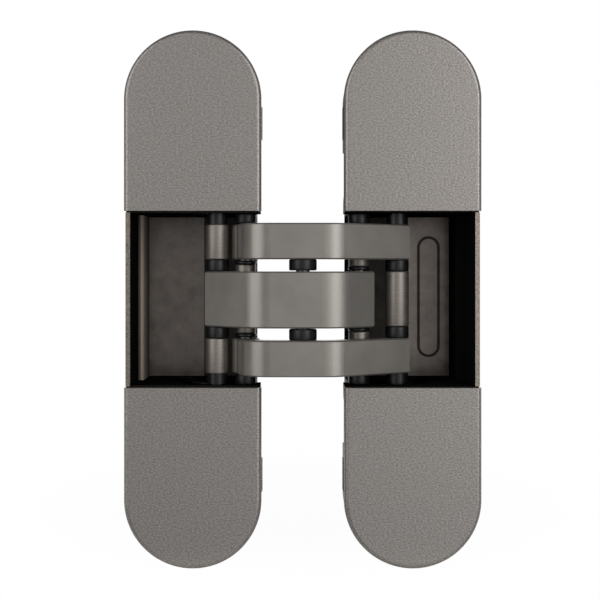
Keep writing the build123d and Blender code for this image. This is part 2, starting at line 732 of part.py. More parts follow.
with BuildPart() as middle_guide_bushes:
    with BuildSketch(plan_at(outer_top)):
        with Locations((-middle_guide_x, middle_guide_depth)):
            Circle(bush_radius)
            Circle(guide_pin_radius, mode=Mode.SUBTRACT)
    extrude(amount=end_gap - side_play)
    with BuildSketch(plan_at(outer_top)):
        with Locations((-middle_guide_x, middle_guide_depth)):
            Circle(nose_radius)
            Circle(guide_pin_radius, mode=Mode.SUBTRACT)
    extrude(amount=nose_top - outer_top)
    mirror(about=Plane.XY)
middle_guide_bushes.part.label = "middle_guide_bushes"
export_step(middle_guide_bushes.part, "parts/middle_guide_bushes.step")
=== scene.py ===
import bmesh
import bpy
import math
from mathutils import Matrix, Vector


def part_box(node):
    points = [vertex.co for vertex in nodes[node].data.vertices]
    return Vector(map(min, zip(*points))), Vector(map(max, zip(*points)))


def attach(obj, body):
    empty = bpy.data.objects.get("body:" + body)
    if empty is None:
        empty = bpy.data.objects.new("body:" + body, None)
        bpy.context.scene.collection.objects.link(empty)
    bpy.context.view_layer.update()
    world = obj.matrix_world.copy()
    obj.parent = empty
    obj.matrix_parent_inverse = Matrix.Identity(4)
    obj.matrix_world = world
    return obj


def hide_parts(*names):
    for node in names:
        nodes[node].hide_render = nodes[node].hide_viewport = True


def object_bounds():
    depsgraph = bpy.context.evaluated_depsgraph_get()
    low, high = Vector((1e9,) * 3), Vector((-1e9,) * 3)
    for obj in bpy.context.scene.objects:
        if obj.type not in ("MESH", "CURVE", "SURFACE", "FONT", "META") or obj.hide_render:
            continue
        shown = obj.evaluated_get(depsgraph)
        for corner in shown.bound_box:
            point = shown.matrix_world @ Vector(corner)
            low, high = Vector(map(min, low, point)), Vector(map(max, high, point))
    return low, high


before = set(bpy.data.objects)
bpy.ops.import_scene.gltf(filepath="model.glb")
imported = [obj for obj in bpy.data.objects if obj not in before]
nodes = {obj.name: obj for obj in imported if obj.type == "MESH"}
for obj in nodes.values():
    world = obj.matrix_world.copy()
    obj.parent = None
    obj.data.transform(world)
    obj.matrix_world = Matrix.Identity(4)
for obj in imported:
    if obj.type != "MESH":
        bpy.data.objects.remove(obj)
cad_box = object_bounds()


# Housings: a deep box in each leaf, die-cast in zinc, whose pocket takes the folded arms. They are
# stoved black, but the pocket floor keeps a nickelled mould skin and the front edge of the thin outer
# wall is ground bare. The ledge in the frame pocket gets a painted highlight along its round edge, and
# the pocket walls, the raised line and the door pocket get painted shade.
def linear(hex_colour):
    """sRGB hex, such as 8d877d, as linear red, green, blue and alpha."""
    parts = [int(hex_colour[i:i + 2], 16) / 255 for i in (0, 2, 4)]
    return [p / 12.92 if p <= 0.04045 else ((p + 0.055) / 1.055) ** 2.4 for p in parts] + [1.0]


def add_node(tree, kind, inputs, **settings):
    """Adds a node: its settings, then its inputs, each a value or the socket that feeds it."""
    made = tree.nodes.new(kind)
    for name, value in settings.items():
        setattr(made, name, value)
    for name, value in inputs.items():
        if isinstance(value, bpy.types.NodeSocket):
            tree.links.new(value, made.inputs[name])
        else:
            made.inputs[name].default_value = value
    return made


def finish_of(name, **constants):
    """A material of that name, with its node tree and its shader, whose fixed sockets are set here."""
    material = bpy.data.materials.new(name)
    material.use_nodes = True
    shader = material.node_tree.nodes["Principled BSDF"]
    for socket, value in constants.items():
        shader.inputs[socket.replace("_", " ")].default_value = value
    return material, material.node_tree, shader


def dress(material, slot, *names):
    """Gives these CAD nodes the material. The slot, the record's name for it, is not used."""
    for name in names:
        nodes[name].data.materials.clear()
        nodes[name].data.materials.append(material)


# Sizes of the patterns and of the places where one finish meets another, in metres.
cloud_size = 0.0035
mould_grain = 0.00022
mould_grain_depth = 0.00004
grinding_mark = 0.0004
ground_depth = 0.0004
floor_thickness = 0.0018
door_wall_foot = 0.0005
pocket_half_height = 0.01905
pocket_middle_x = 0.0231
pocket_half_width = 0.0147
pocket_shade_fade = 0.016
ledge_depth = 0.0130
ledge_middle_x = -0.03705
ledge_half_width = 0.00066
ledge_shade_start_x = -0.03745
ledge_highlight_full_x = -0.0370
face_tolerance = 0.0001
# How far a face is turned to the front or the back: 0 for a wall, 1 for a floor.
wall_turn = 0.05
slope_turn = 0.15
back_turn = 0.1
floor_turn = 0.98
# How much of each finish and of the painted shade there is, and its sheen.
raised_line_shade_share = 0.72
ledge_shade_beside_wall = 0.15
skin_metallic = 0.7
enamel_shine = 0.1
ledge_highlight_roughness = 0.55
ground_edge_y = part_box("frame_housing")[0].y + ground_depth
ledge_top_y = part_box("frame_housing")[0].y + ledge_depth
pocket_floor_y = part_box("frame_housing")[1].y - floor_thickness
cast_zinc, tree, shader = finish_of("nickelled_die_cast_zinc")
place = add_node(tree, "ShaderNodeTexCoord", {})
axes = add_node(tree, "ShaderNodeSeparateXYZ", {"Vector": place.outputs["Object"]})
turn = add_node(tree, "ShaderNodeSeparateXYZ", {"Vector": place.outputs["Normal"]})
tall = add_node(tree, "ShaderNodeMath", {0: axes.outputs["Z"]}, operation="ABSOLUTE")
broad = add_node(tree, "ShaderNodeMath", {0: axes.outputs["X"]}, operation="ABSOLUTE")
from_floor = add_node(tree, "ShaderNodeMath", {
    0: axes.outputs["Y"], 1: pocket_floor_y}, operation="SUBTRACT")

# The skin is cloudy where the melt ran together over a few millimetres, with a fine mould grain.
clouds = add_node(tree, "ShaderNodeTexNoise", {
    "Vector": place.outputs["Object"], "Scale": 1 / cloud_size, "Detail": 4.0, "Roughness": 0.6})
skin = add_node(tree, "ShaderNodeValToRGB", {"Fac": clouds.outputs["Fac"]})
skin.color_ramp.elements[0].position = 0.3
skin.color_ramp.elements[0].color = linear("6e6863")
skin.color_ramp.elements[1].position = 0.7
skin.color_ramp.elements[1].color = linear("8a827c")
grain = add_node(tree, "ShaderNodeTexNoise", {
    "Vector": place.outputs["Object"], "Scale": 1 / mould_grain, "Detail": 2.0})
relief = add_node(tree, "ShaderNodeBump", {
    "Height": grain.outputs["Fac"], "Strength": 0.25, "Distance": mould_grain_depth})
tree.links.new(relief.outputs["Normal"], shader.inputs["Normal"])

# Ground edge: bare zinc with marks that run a little across the wall.
outward = add_node(tree, "ShaderNodeMath", {0: turn.outputs["Y"]}, operation="ABSOLUTE")
steep = add_node(tree, "ShaderNodeMapRange", {
    "Value": outward.outputs[0], "From Min": slope_turn, "From Max": wall_turn})
facing = add_node(tree, "ShaderNodeMath", {0: 1.0, 1: steep.outputs[0]}, operation="SUBTRACT")
foremost = add_node(tree, "ShaderNodeMapRange", {
    "Value": axes.outputs["Y"], "From Min": ground_edge_y, "From Max": ground_edge_y - face_tolerance})
ground = add_node(tree, "ShaderNodeMath", {
    0: foremost.outputs[0], 1: facing.outputs[0]}, operation="MULTIPLY")
across = add_node(tree, "ShaderNodeMapping", {
    "Vector": place.outputs["Object"], "Scale": (0.6, 1.0, 1.0)})
marks = add_node(tree, "ShaderNodeTexNoise", {
    "Vector": across.outputs["Vector"], "Scale": 1 / grinding_mark, "Detail": 3.0})
bare_zinc = add_node(tree, "ShaderNodeValToRGB", {"Fac": marks.outputs["Fac"]})
bare_zinc.color_ramp.elements[0].position = 0.35
bare_zinc.color_ramp.elements[0].color = linear("827a71")
bare_zinc.color_ramp.elements[1].position = 0.65
bare_zinc.color_ramp.elements[1].color = linear("a89f95")

# Enamel: on the walls, the back and the grooves. As painted shade, the raised line and all of the
# door pocket but its floor are given the enamel's black too.
rear = add_node(tree, "ShaderNodeMath", {0: turn.outputs["Y"], 1: back_turn}, operation="GREATER_THAN")
grooves = add_node(tree, "ShaderNodeMath", {
    0: tall.outputs[0], 1: pocket_half_height}, operation="GREATER_THAN")
level = add_node(tree, "ShaderNodeMath", {0: turn.outputs["Y"], 1: -floor_turn}, operation="LESS_THAN")
off_floor = add_node(tree, "ShaderNodeMath", {0: from_floor.outputs[0]}, operation="ABSOLUTE")
stepped = add_node(tree, "ShaderNodeMath", {
    0: off_floor.outputs[0], 1: face_tolerance}, operation="GREATER_THAN")
risen = add_node(tree, "ShaderNodeMath", {
    0: level.outputs[0], 1: stepped.outputs[0]}, operation="MULTIPLY")
# Painted shade: the raised line is darkened most of the way to the enamel's black.
raised_line_shade = add_node(tree, "ShaderNodeMath", {
    0: risen.outputs[0], 1: raised_line_shade_share}, operation="MULTIPLY")
# Painted shade: all of the door pocket but its floor is painted black.
door_side = add_node(tree, "ShaderNodeMath", {0: axes.outputs["X"], 1: 0.0}, operation="GREATER_THAN")
high = add_node(tree, "ShaderNodeMath", {
    0: from_floor.outputs[0], 1: -door_wall_foot}, operation="LESS_THAN")
door_pocket_shade = add_node(tree, "ShaderNodeMath", {
    0: door_side.outputs[0], 1: high.outputs[0]}, operation="MULTIPLY")
enamel_and_shade = steep
for part in (rear, raised_line_shade, grooves, door_pocket_shade):
    enamel_and_shade = add_node(tree, "ShaderNodeMath", {
        0: enamel_and_shade.outputs[0], 1: part.outputs[0]}, operation="MAXIMUM")

# Painted shade: inside the pocket the enamel's sheen is taken away, and it comes back a little way
# past the ends.
within = add_node(tree, "ShaderNodeMath", {
    0: broad.outputs[0], 1: pocket_middle_x, 2: pocket_half_width}, operation="COMPARE")
above = add_node(tree, "ShaderNodeMath", {
    0: from_floor.outputs[0], 1: floor_thickness - face_tolerance}, operation="LESS_THAN")
hollow = add_node(tree, "ShaderNodeMath", {
    0: within.outputs[0], 1: above.outputs[0]}, operation="MULTIPLY")
past_end = add_node(tree, "ShaderNodeMapRange", {
    "Value": tall.outputs[0], "From Min": pocket_half_height, "From Max": pocket_half_height + pocket_shade_fade,
    "To Min": 1.0, "To Max": 0.0})
pocket_shade = add_node(tree, "ShaderNodeMath", {
    0: hollow.outputs[0], 1: past_end.outputs[0]}, operation="MULTIPLY")
shine = add_node(tree, "ShaderNodeMapRange", {
    "Value": pocket_shade.outputs[0], "To Min": enamel_shine, "To Max": 0.0})
tree.links.new(shine.outputs["Result"], shader.inputs["Specular IOR Level"])

# Frame ledge: a painted highlight on its round edge, fading into painted shade beside the wall and
# down its side towards the floor.
between = add_node(tree, "ShaderNodeMath", {
    0: tall.outputs[0], 1: pocket_half_height}, operation="LESS_THAN")
over_ledge = add_node(tree, "ShaderNodeMath", {
    0: axes.outputs["X"], 1: ledge_middle_x, 2: ledge_half_width}, operation="COMPARE")
below_top = add_node(tree, "ShaderNodeMath", {
    0: axes.outputs["Y"], 1: ledge_top_y - face_tolerance}, operation="GREATER_THAN")
ledge_shade_across = add_node(tree, "ShaderNodeMapRange", {
    "Value": axes.outputs["X"], "From Min": ledge_shade_start_x, "From Max": ledge_highlight_full_x,
    "To Min": ledge_shade_beside_wall, "To Max": 1.0})
down = add_node(tree, "ShaderNodeMapRange", {
    "Value": axes.outputs["Y"], "From Min": ledge_top_y, "From Max": pocket_floor_y})
ledge_shade_down = add_node(tree, "ShaderNodeValToRGB", {"Fac": down.outputs["Result"]})
ledge_shade_down.color_ramp.elements[0].position = 0.008
ledge_shade_down.color_ramp.elements[0].color = (1.0, 1.0, 1.0, 1.0)
ledge_shade_down.color_ramp.elements[1].position = 0.9
ledge_shade_down.color_ramp.elements[1].color = (0.3, 0.3, 0.3, 1.0)
for depth, share in ((0.044, 0.45), (0.2, 0.68)):
    stop = ledge_shade_down.color_ramp.elements.new(depth)
    stop.color = (share, share, share, 1.0)
ledge_highlight = over_ledge
for part in (below_top, ledge_shade_across, ledge_shade_down, hollow, between):
    ledge_highlight = add_node(tree, "ShaderNodeMath", {
        0: ledge_highlight.outputs[0], 1: part.outputs[0]}, operation="MULTIPLY")

# The layers lie over one another: skin, painted highlight on the ledge, enamel and painted shade, ground
# edge.
off_ledge_highlight = add_node(tree, "ShaderNodeMath", {0: 1.0, 1: ledge_highlight.outputs[0]}, operation="SUBTRACT")
unground = add_node(tree, "ShaderNodeMath", {0: 1.0, 1: ground.outputs[0]}, operation="SUBTRACT")
coat_and_shade = enamel_and_shade
for part in (off_ledge_highlight, unground):
    coat_and_shade = add_node(tree, "ShaderNodeMath", {
        0: coat_and_shade.outputs[0], 1: part.outputs[0]}, operation="MULTIPLY")
# Where the painted highlight lies on the ledge, the skin gives way to a pale a89c8c, with no metal and more
# roughness.
under_coat = add_node(tree, "ShaderNodeMix", {
    0: off_ledge_highlight.outputs[0], 6: linear("a89c8c"), 7: skin.outputs["Color"]}, data_type="RGBA")
coated = add_node(tree, "ShaderNodeMix", {
    0: coat_and_shade.outputs[0], 6: under_coat.outputs[2], 7: linear("121110")}, data_type="RGBA")
colour = add_node(tree, "ShaderNodeMix", {
    0: ground.outputs[0], 6: coated.outputs[2], 7: bare_zinc.outputs["Color"]}, data_type="RGBA")
tree.links.new(colour.outputs[2], shader.inputs["Base Color"])
uncoated = add_node(tree, "ShaderNodeMath", {
    0: coat_and_shade.outputs[0], 1: -skin_metallic, 2: skin_metallic}, operation="MULTIPLY_ADD")
metal = add_node(tree, "ShaderNodeMath", {
    0: uncoated.outputs[0], 1: ground.outputs[0]}, operation="MAXIMUM")
dulled = add_node(tree, "ShaderNodeMath", {
    0: metal.outputs[0], 1: ledge_highlight.outputs[0]}, operation="SUBTRACT", use_clamp=True)
tree.links.new(dulled.outputs[0], shader.inputs["Metallic"])
sheen = add_node(tree, "ShaderNodeMapRange", {
    "Value": clouds.outputs["Fac"], "From Min": 0.3, "From Max": 0.7, "To Min": 0.28, "To Max": 0.36})
dull = add_node(tree, "ShaderNodeMix", {
    0: off_ledge_highlight.outputs[0], 2: ledge_highlight_roughness, 3: sheen.outputs["Result"]}, data_type="FLOAT")
tree.links.new(dull.outputs[0], shader.inputs["Roughness"])
dress(cast_zinc, "cast_housing", "frame_housing", "door_housing")


# Mounting plates: zinc trays at the ends of the leaves, hidden by the covers but for their rims.
# They are cast like the housings and stoved black, with a fine orange peel in the enamel.
peel_size = 0.0006
stoved_black, tree, shader = finish_of("stoved_black_enamel", Metallic=0.0, Specular_IOR_Level=enamel_shine)
place = add_node(tree, "ShaderNodeTexCoord", {})
peel = add_node(tree, "ShaderNodeTexNoise", {
    "Vector": place.outputs["Object"], "Scale": 1 / peel_size, "Detail": 3.0})
tint = add_node(tree, "ShaderNodeValToRGB", {"Fac": peel.outputs["Fac"]})
tint.color_ramp.elements[0].position = 0.3
tint.color_ramp.elements[0].color = linear("1b1a19")
tint.color_ramp.elements[1].position = 0.7
tint.color_ramp.elements[1].color = linear("262422")
tree.links.new(tint.outputs["Color"], shader.inputs["Base Color"])
dull = add_node(tree, "ShaderNodeMapRange", {
    "Value": peel.outputs["Fac"], "From Min": 0.3, "From Max": 0.7, "To Min": 0.4, "To Max": 0.52})
tree.links.new(dull.outputs["Result"], shader.inputs["Roughness"])
dress(stoved_black, "cast_housing",
      "frame_plate_upper", "frame_plate_lower", "door_plate_upper", "door_plate_lower")


# Clamp screws and side adjusters: turned steel with a bright zinc plating, set under the covers.
# The plating is fine-grained and mottles a little in tint and sheen.
plating_grain = 0.0003
bright_zinc, tree, shader = finish_of("zinc_plated_steel", Metallic=1.0)
place = add_node(tree, "ShaderNodeTexCoord", {})
mottle = add_node(tree, "ShaderNodeTexNoise", {
    "Vector": place.outputs["Object"], "Scale": 1 / plating_grain, "Detail": 2.0})
tint = add_node(tree, "ShaderNodeValToRGB", {"Fac": mottle.outputs["Fac"]})
tint.color_ramp.elements[0].color = linear("a9abac")
tint.color_ramp.elements[1].color = linear("c9cbca")
tree.links.new(tint.outputs["Color"], shader.inputs["Base Color"])
dull = add_node(tree, "ShaderNodeMapRange", {
    "Value": mottle.outputs["Fac"], "To Min": 0.25, "To Max": 0.4})
tree.links.new(dull.outputs["Result"], shader.inputs["Roughness"])
dress(bright_zinc, "zinc_screw",
      "frame_clamp_screws", "door_clamp_screws", "frame_adjusters", "door_adjusters")


# Covers: four thin zinc caps that close the leaves above and below the pockets, pegged to the
# plates and sprayed with a satin nickel lacquer. It dries in a leathery grain, a little crosswise.
grain_cell = 0.00032
grain_depth = 0.00008
flake_size = 0.0002
cover_paint, tree, shader = finish_of("satin_nickel_lacquer", Metallic=0.75)
place = add_node(tree, "ShaderNodeTexCoord", {})
crosswise = add_node(tree, "ShaderNodeMapping", {
    "Vector": place.outputs["Object"], "Scale": (0.65, 1.0, 1.0)})
leather = add_node(tree, "ShaderNodeTexNoise", {
    "Vector": crosswise.outputs["Vector"], "Scale": 1 / grain_cell, "Detail": 2.0, "Roughness": 0.55})
flakes = add_node(tree, "ShaderNodeTexNoise", {
    "Vector": place.outputs["Object"], "Scale": 1 / flake_size, "Detail": 1.0})
tint = add_node(tree, "ShaderNodeValToRGB", {"Fac": leather.outputs["Fac"]})
tint.color_ramp.elements[0].position = 0.34
tint.color_ramp.elements[0].color = linear("898480")
tint.color_ramp.elements[1].position = 0.66
tint.color_ramp.elements[1].color = linear("a7a29e")
tree.links.new(tint.outputs["Color"], shader.inputs["Base Color"])
dull = add_node(tree, "ShaderNodeMapRange", {
    "Value": flakes.outputs["Fac"], "From Min": 0.3, "From Max": 0.7, "To Min": 0.33, "To Max": 0.43})
tree.links.new(dull.outputs["Result"], shader.inputs["Roughness"])
relief = add_node(tree, "ShaderNodeBump", {
    "Height": leather.outputs["Fac"], "Strength": 0.6, "Distance": grain_depth})
tree.links.new(relief.outputs["Normal"], shader.inputs["Normal"])
dress(cover_paint, "painted_cover",
      "frame_cover_upper", "frame_cover_lower", "door_cover_upper", "door_cover_lower")


# Arms: three bent steel bars, tumbled smooth and sprayed with the covers' lacquer, but thinner, so
# that they are smooth and a little glossier. The spray leaves a fine mist and drifts over centimetres.
mist_size = 0.00016
mist_depth = 0.00002
drift_size = 0.006
arm_paint, tree, shader = finish_of("smooth_nickel_lacquer", Metallic=0.7)
place = add_node(tree, "ShaderNodeTexCoord", {})
mist = add_node(tree, "ShaderNodeTexNoise", {
    "Vector": place.outputs["Object"], "Scale": 1 / mist_size, "Detail": 2.0})
drift = add_node(tree, "ShaderNodeTexNoise", {
    "Vector": place.outputs["Object"], "Scale": 1 / drift_size, "Detail": 3.0})
blend = add_node(tree, "ShaderNodeMath", {
    0: mist.outputs["Fac"], 1: drift.outputs["Fac"]}, operation="MULTIPLY")
tint = add_node(tree, "ShaderNodeValToRGB", {"Fac": blend.outputs["Value"]})
tint.color_ramp.elements[0].position = 0.1
tint.color_ramp.elements[0].color = linear("89857f")
tint.color_ramp.elements[1].position = 0.4
tint.color_ramp.elements[1].color = linear("95918b")
tree.links.new(tint.outputs["Color"], shader.inputs["Base Color"])
dull = add_node(tree, "ShaderNodeMapRange", {
    "Value": drift.outputs["Fac"], "From Min": 0.3, "From Max": 0.7, "To Min": 0.3, "To Max": 0.35})
tree.links.new(dull.outputs["Result"], shader.inputs["Roughness"])
relief = add_node(tree, "ShaderNodeBump", {
    "Height": mist.outputs["Fac"], "Strength": 0.08, "Distance": mist_depth})
tree.links.new(relief.outputs["Normal"], shader.inputs["Normal"])
dress(arm_paint, "satin_arm", "outer_arm_upper", "outer_arm_lower", "middle_arm")


# Pins: ground steel rods through the arms and housings, seen only in the gaps between the rings.
# Grinding leaves them bright, with fine marks round the rod.
rod_mark = 0.00012
ground_steel, tree, shader = finish_of("ground_steel", Metallic=1.0)
place = add_node(tree, "ShaderNodeTexCoord", {})
round_rod = add_node(tree, "ShaderNodeMapping", {
    "Vector": place.outputs["Object"], "Scale": (0.1, 0.1, 1.0)})
marks = add_node(tree, "ShaderNodeTexNoise", {
    "Vector": round_rod.outputs["Vector"], "Scale": 1 / rod_mark, "Detail": 2.0})
tint = add_node(tree, "ShaderNodeValToRGB", {"Fac": marks.outputs["Fac"]})
tint.color_ramp.elements[0].color = linear("5f5d5a")
tint.color_ramp.elements[1].color = linear("7a7874")
tree.links.new(tint.outputs["Color"], shader.inputs["Base Color"])
dull = add_node(tree, "ShaderNodeMapRange", {
    "Value": marks.outputs["Fac"], "To Min": 0.2, "To Max": 0.38})
tree.links.new(dull.outputs["Result"], shader.inputs["Roughness"])
dress(ground_steel, "steel_pin",
      "frame_pivot_pin", "door_pivot_pin", "centre_pin", "outer_guide_pin", "middle_guide_pin")


# Sleeves and barrels: plain tubes on the pins that keep the arms apart, turned from steel with a
# rounded rim at both ends and lacquered with the arms. Faint rings from the lathe show through.
def ring_tree():
    """Rings on one pin: a rounded wall swept round the pin, repeated at even heights about the middle."""
    rings = bpy.data.node_groups.new("rings_on_a_pin", "GeometryNodeTree")
    for name, kind in (("Axis", "NodeSocketVector"), ("Count", "NodeSocketInt"),
                       ("Reach", "NodeSocketFloat"), ("Radius", "NodeSocketFloat"),
                       ("Bore", "NodeSocketFloat"), ("Height", "NodeSocketFloat"),
                       ("Rim", "NodeSocketFloat"), ("Material", "NodeSocketMaterial")):
        rings.interface.new_socket(name, in_out="INPUT", socket_type=kind)
    rings.interface.new_socket("Geometry", in_out="OUTPUT", socket_type="NodeSocketGeometry")
    given = add_node(rings, "NodeGroupInput", {})
    twice = add_node(rings, "ShaderNodeMath", {
        0: given.outputs["Radius"], 1: given.outputs["Bore"]}, operation="ADD")
    middle = add_node(rings, "ShaderNodeMath", {0: twice.outputs[0], 1: 0.5}, operation="MULTIPLY")
    wall = add_node(rings, "ShaderNodeMath", {
        0: given.outputs["Radius"], 1: given.outputs["Bore"]}, operation="SUBTRACT")
    path = add_node(rings, "GeometryNodeCurvePrimitiveCircle", {
        "Resolution": ring_sides, "Radius": middle.outputs[0]})
    section = add_node(rings, "GeometryNodeCurvePrimitiveQuadrilateral", {
        "Width": wall.outputs[0], "Height": given.outputs["Height"]})
    rounded = add_node(rings, "GeometryNodeFilletCurve", {
        "Curve": section.outputs["Curve"], "Count": rim_sides, "Radius": given.outputs["Rim"],
        "Limit Radius": True}, mode="POLY")
    ring = add_node(rings, "GeometryNodeCurveToMesh", {
        "Curve": path.outputs["Curve"], "Profile Curve": rounded.outputs["Curve"]})
    lift = add_node(rings, "ShaderNodeCombineXYZ", {"Z": given.outputs["Reach"]})
    top = add_node(rings, "ShaderNodeVectorMath", {
        0: given.outputs["Axis"], 1: lift.outputs[0]}, operation="ADD")
    foot = add_node(rings, "ShaderNodeVectorMath", {
        0: given.outputs["Axis"], 1: lift.outputs[0]}, operation="SUBTRACT")
    places = add_node(rings, "GeometryNodeMeshLine", {
        "Count": given.outputs["Count"], "Start Location": foot.outputs[0],
        "Offset": top.outputs[0]}, mode="END_POINTS")
    put = add_node(rings, "GeometryNodeInstanceOnPoints", {
        "Points": places.outputs["Mesh"], "Instance": ring.outputs["Mesh"]})
    real = add_node(rings, "GeometryNodeRealizeInstances", {"Geometry": put.outputs["Instances"]})
    coated = add_node(rings, "GeometryNodeSetMaterial", {
        "Geometry": real.outputs["Geometry"], "Material": given.outputs["Material"]})
    add_node(rings, "NodeGroupOutput", {"Geometry": coated.outputs["Geometry"]})
    return rings


def ring_row(node, count, radius, bore, height, rim, reach, material):
    """The ring tree's inputs for rings of a CAD node, whose box gives the pin's axis."""
    low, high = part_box(node)
    axis = Vector(((low.x + high.x) / 2, (low.y + high.y) / 2, 0.0))
    return {"Axis": axis, "Count": count, "Reach": reach, "Radius": radius, "Bore": bore,
            "Height": height, "Rim": rim, "Material": material}


def rings_on_pin(name, body, rows, material, stands_for):
    """One piece of rings that rides on a body in place of a CAD node, from rows of the tree's inputs."""
    shell = bmesh.new()
    for row in rows:
        rough = bpy.data.objects.new(name + "_row", bpy.data.meshes.new(name + "_row"))
        bpy.context.scene.collection.objects.link(rough)
        modifier = rough.modifiers.new("rings", "NODES")
        modifier.node_group = ring_nodes
        for item in ring_nodes.interface.items_tree:
            if item.in_out == "INPUT":
                modifier[item.identifier] = row[item.name]
        solid = bpy.data.meshes.new_from_object(rough.evaluated_get(bpy.context.evaluated_depsgraph_get()))
        shell.from_mesh(solid)
        bpy.data.objects.remove(rough)
    bmesh.ops.remove_doubles(shell, verts=shell.verts, dist=merge_gap)
    bmesh.ops.recalc_face_normals(shell, faces=shell.faces)
    mesh = bpy.data.meshes.new(name)
    shell.to_mesh(mesh)
    shell.free()
    mesh.materials.clear()
    mesh.materials.append(material)
    mesh.shade_smooth()
    mesh.set_sharp_from_angle(angle=crease_angle)
    piece = bpy.data.objects.new(name, mesh)
    bpy.context.scene.collection.objects.link(piece)
    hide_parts(stands_for)
    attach(piece, body)


lathe_mark = 0.00035
tube_rim = 0.0003
ring_sides = 72
rim_sides = 4
merge_gap = 1e-7
crease_angle = math.radians(40)
ring_nodes = ring_tree()
tube_paint, tree, shader = finish_of("lacquered_turned_steel", Metallic=0.85)
place = add_node(tree, "ShaderNodeTexCoord", {})
turned = add_node(tree, "ShaderNodeMapping", {
    "Vector": place.outputs["Object"], "Scale": (0.15, 0.15, 1.0)})
lathe = add_node(tree, "ShaderNodeTexNoise", {
    "Vector": turned.outputs["Vector"], "Scale": 1 / lathe_mark, "Detail": 3.0})
tint = add_node(tree, "ShaderNodeValToRGB", {"Fac": lathe.outputs["Fac"]})
tint.color_ramp.elements[0].position = 0.3
tint.color_ramp.elements[0].color = linear("827c76")
tint.color_ramp.elements[1].position = 0.7
tint.color_ramp.elements[1].color = linear("908a83")
tree.links.new(tint.outputs["Color"], shader.inputs["Base Color"])
dull = add_node(tree, "ShaderNodeMapRange", {
    "Value": lathe.outputs["Fac"], "From Min": 0.3, "From Max": 0.7, "To Min": 0.4, "To Max": 0.5})
tree.links.new(dull.outputs["Result"], shader.inputs["Roughness"])

for node, body, pin, count in (("frame_pivot_sleeve", "frame_leaf", "frame_pivot_pin", 1),
                               ("door_pivot_sleeves", "door_leaf", "frame_pivot_pin", 2),
                               ("outer_guide_barrel", "outer_arms", "outer_guide_pin", 1),
                               ("middle_guide_barrels", "middle_link", "outer_guide_pin", 2)):
    low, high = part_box(node)
    rod_low, rod_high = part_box(pin)
    bore = (rod_high.x - rod_low.x) / 2
    radius = (high.x - low.x) / 2
    nearest = min(abs(v.co.z) for v in nodes[node].data.vertices)
    height = high.z - nearest if count == 2 else high.z - low.z
    reach = (high.z + nearest) / 2 if count == 2 else 0.0
    rows = [ring_row(node, count, radius, bore, height, tube_rim, reach, tube_paint)]
    rings_on_pin("turned_" + node, body, rows, tube_paint, node)


# Washers and guide bushes: black acetal rings between the arms and at the pocket ends, moulded,
# with soft rims. Acetal is smooth and waxy, so it shows a broad dim shine on a near-black body.
wax_patch = 0.0005
washer_rim = 0.0003
acetal, tree, shader = finish_of("black_acetal", IOR=1.48, Specular_IOR_Level=0.4)
place = add_node(tree, "ShaderNodeTexCoord", {})
wax = add_node(tree, "ShaderNodeTexNoise", {
    "Vector": place.outputs["Object"], "Scale": 1 / wax_patch, "Detail": 3.0})
tint = add_node(tree, "ShaderNodeValToRGB", {"Fac": wax.outputs["Fac"]})
tint.color_ramp.elements[0].position = 0.3
tint.color_ramp.elements[0].color = linear("0c0d0e")
tint.color_ramp.elements[1].position = 0.7
tint.color_ramp.elements[1].color = linear("141517")
tree.links.new(tint.outputs["Color"], shader.inputs["Base Color"])
dull = add_node(tree, "ShaderNodeMapRange", {
    "Value": wax.outputs["Fac"], "From Min": 0.3, "From Max": 0.7, "To Min": 0.3, "To Max": 0.4})
tree.links.new(dull.outputs["Result"], shader.inputs["Roughness"])
dress(acetal, "black_washer", "outer_guide_bushes", "middle_guide_bushes")

for node, body, pin in (("centre_washers", "outer_arms", "centre_pin"),
                        ("outer_guide_washers", "outer_arms", "outer_guide_pin"),
                        ("middle_guide_washers", "middle_link", "middle_guide_pin"),
                        ("frame_pivot_washers", "frame_leaf", "frame_pivot_pin"),
                        ("door_pivot_washers", "door_leaf", "door_pivot_pin")):
    low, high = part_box(node)
    rod_low, rod_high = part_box(pin)
    bore = (rod_high.x - rod_low.x) / 2
    radius = (high.x - low.x) / 2
    levels = sorted({round(abs(v.co.z), 6) for v in nodes[node].data.vertices})
    rows = [ring_row(node, 2, radius, bore, top - foot, washer_rim, (top + foot) / 2, acetal)
            for foot, top in zip(levels[0::2], levels[1::2])]
    rings_on_pin("moulded_" + node, body, rows, acetal, node)


# Floor: a plain pale board under the leaves, on which they stand. To the eye it is white but for the
# hinge's faint shadow. Metal sees its white too, except for the strip right at the leaves' foot.
board_depth = 6.0
board_front = 0.015
board_gap = 0.00002
dim_strip_end = 0.012
open_board_from = 0.05
shadow_middle = (0.0, 0.06, cad_box[0].z)
shadow_core = 0.03
shadow_reach = 0.095
shadow_share = 0.035
bpy.ops.mesh.primitive_plane_add(
    size=board_depth, location=(0, board_depth / 2 - board_front, cad_box[0].z - board_gap))
floor = bpy.context.object
floor.name = "floor"
board, tree, shader = finish_of("white_board", Roughness=0.9)
shader.inputs["Base Color"].default_value = linear("f4f4f2")
ray = add_node(tree, "ShaderNodeLightPath", {})
spot = add_node(tree, "ShaderNodeNewGeometry", {})
spread = add_node(tree, "ShaderNodeSeparateXYZ", {"Vector": spot.outputs["Position"]})
open_board = add_node(tree, "ShaderNodeMapRange", {
    "Value": spread.outputs["Y"], "From Min": dim_strip_end, "From Max": open_board_from})
mirrored = add_node(tree, "ShaderNodeMath", {
    0: ray.outputs["Is Glossy Ray"], 1: open_board.outputs[0]}, operation="MULTIPLY")
seen = add_node(tree, "ShaderNodeMath", {
    0: ray.outputs["Is Camera Ray"], 1: mirrored.outputs[0]}, operation="MAXIMUM")
shown = add_node(tree, "ShaderNodeMath", {
    0: seen.outputs[0], 1: ray.outputs["Is Transmission Ray"]}, operation="MAXIMUM")
